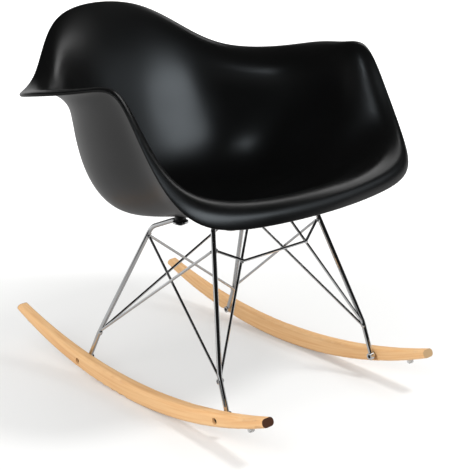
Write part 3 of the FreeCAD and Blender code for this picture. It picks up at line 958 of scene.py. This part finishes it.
def make_floor():
    material, tree, shader = new_material("white_studio_paper")
    place = add_node(tree, "ShaderNodeTexCoord").outputs["Object"]
    fill_inputs(tree, shader, {
        "Base Color": paper_colour(tree, place), "Roughness": 0.9, "Specular IOR Level": 0.1,
        "Emission Color": (1, 1, 1, 1), "Emission Strength": paper_glow(tree, place)})
    start_fresh()
    bpy.ops.mesh.primitive_plane_add(size=FLOOR_WIDE, location=(0, 0, 0))
    floor = bpy.context.object
    floor.name = "studio_floor"
    floor.data.materials.append(material)


make_floor()
print("floor glow for the camera", GLOW_NEAR, "near and", GLOW_FAR, "far away")

# %% [markdown]
# The world stands for the rest of the room. It lights everything evenly and softly, the camera
# and clear pieces see it as plain white, and a mirror ray sees the dark room, or the white wall
# where its direction is low enough and turned to that side.

# %% World
ROOM_LIGHT = 0.95
ROOM_DARK = 0.01
WALL_MIRRORED = 1.0
WALL_TOP_FADES = (0.05, 0.22)
WALL_SIDE_FADES = (0.0, 0.3)
WALL_AZIMUTH = math.radians(135)
TO_WHITE_WALL = Vector((math.cos(WALL_AZIMUTH), math.sin(WALL_AZIMUTH), 0))


def white_wall(tree):
    """One for directions that meet the white wall, zero for the dark room."""
    direction = add_node(tree, "ShaderNodeTexCoord").outputs["Generated"]
    parts = add_node(tree, "ShaderNodeSeparateXYZ", inputs={"Vector": direction}).outputs
    low = remap(tree, parts["Z"], WALL_TOP_FADES, (1.0, 0.0))
    sideways = measure(tree, "DOT_PRODUCT", direction, TO_WHITE_WALL)
    return calculate(tree, "MULTIPLY", low, remap(tree, sideways, WALL_SIDE_FADES))


def make_world():
    world = bpy.data.worlds.new("white_studio")
    bpy.context.scene.world = world
    world.use_nodes = True
    tree = world.node_tree
    tree.nodes.clear()
    mirrored = remap(tree, white_wall(tree), (0.0, 1.0), (ROOM_DARK, WALL_MIRRORED))
    as_lamp = mix_values(tree, is_ray(tree, "Is Glossy Ray"), ROOM_LIGHT, mirrored)
    seen = is_ray(tree, "Is Camera Ray", "Is Transmission Ray")
    light = add_node(tree, "ShaderNodeBackground", inputs={
        "Color": (1, 1, 1, 1), "Strength": mix_values(tree, seen, as_lamp, 1.0)})
    add_node(tree, "ShaderNodeOutputWorld", inputs={"Surface": light.outputs["Background"]})


make_world()
print("world: as a lamp", ROOM_LIGHT, "and dark to mirrors", ROOM_DARK)

# %% [markdown]
# Lamps are placed by what they do. The key comes from the front, high up and a little to the
# sitter's left, and draws the rockers' shadows. A wide fill from the sitter's right lights the
# wood. Neither is mirrored, because the seat in the photograph mirrors no lamp there. The front
# box makes the broad highlight inside the back, and a weaker one beside it makes that highlight
# fade slowly on one side. A low-powered box at the sitter's left catches the rolled front edge.
# One small lamp gives the two faint spots in the wall, since a hollow wall mirrors it twice.
# The front box, the one beside it and the small lamp shine on the shell only, as black cards
# would keep them off the rods. The Standard view transform shows the paper's white as white.

# %% Lamps
COOL_WHITE = (0.84, 0.93, 1.0)
WHITE = (1.0, 1.0, 1.0)
CHAIR_MIDDLE = Vector((0, 0, 0.4))
SEAT_BACK = Vector((0, 0.2, 0.45))
LEFT_WALL = Vector((0.19, 0.08, 0.44))


def add_softbox(name, aim, direction, distance, size, watts, tint=WHITE):
    """A round or oval lamp that faces a point, from an azimuth and a height in degrees."""
    turn, rise = (math.radians(angle) for angle in direction)
    flat = math.cos(rise)
    away = Vector((math.cos(turn) * flat, math.sin(turn) * flat, math.sin(rise)))
    start_fresh()
    bpy.ops.object.light_add(type="AREA", location=aim + away * distance)
    lamp = bpy.context.object
    lamp.name = name
    lamp.data.shape = "ELLIPSE"
    lamp.data.size, lamp.data.size_y = size
    lamp.data.energy = watts
    lamp.data.color = tint
    lamp.visible_camera = False
    lamp.rotation_euler = (-away).to_track_quat("-Z", "Y").to_euler()
    return lamp


def shine_only_on(lamp, piece):
    """Keeps a lamp off everything but one piece, as a photographer's black card does."""
    lit = bpy.data.collections.new(lamp.name + "_lit")
    lit.objects.link(piece)
    lamp.light_linking.receiver_collection = lit


bpy.context.scene.view_settings.view_transform = "Standard"
key = add_softbox(
    "key_softbox", CHAIR_MIDDLE, (-68, 52), distance=2.6, size=(0.55, 0.55), watts=32)
fill = add_softbox(
    "fill_softbox", CHAIR_MIDDLE, (-165, 32), distance=2.4, size=(1.6, 1.6), watts=20)
for lamp in (key, fill):
    lamp.visible_glossy = False
add_softbox("left_softbox", CHAIR_MIDDLE, (10, 38), distance=2.4, size=(2.2, 0.6), watts=6.5)
front = add_softbox(
    "front_softbox", SEAT_BACK, (-98, 18), distance=2.2, size=(2.0, 0.9), watts=22,
    tint=COOL_WHITE)
beside = add_softbox(
    "beside_softbox", SEAT_BACK, (-55, 15), distance=2.2, size=(1.8, 0.9), watts=3,
    tint=COOL_WHITE)
spot = add_softbox(
    "spot_lamp", LEFT_WALL, (-178, 31), distance=2.4, size=(0.2, 0.2), watts=2.4,
    tint=COOL_WHITE)
for lamp in (front, beside, spot):
    shine_only_on(lamp, shell)
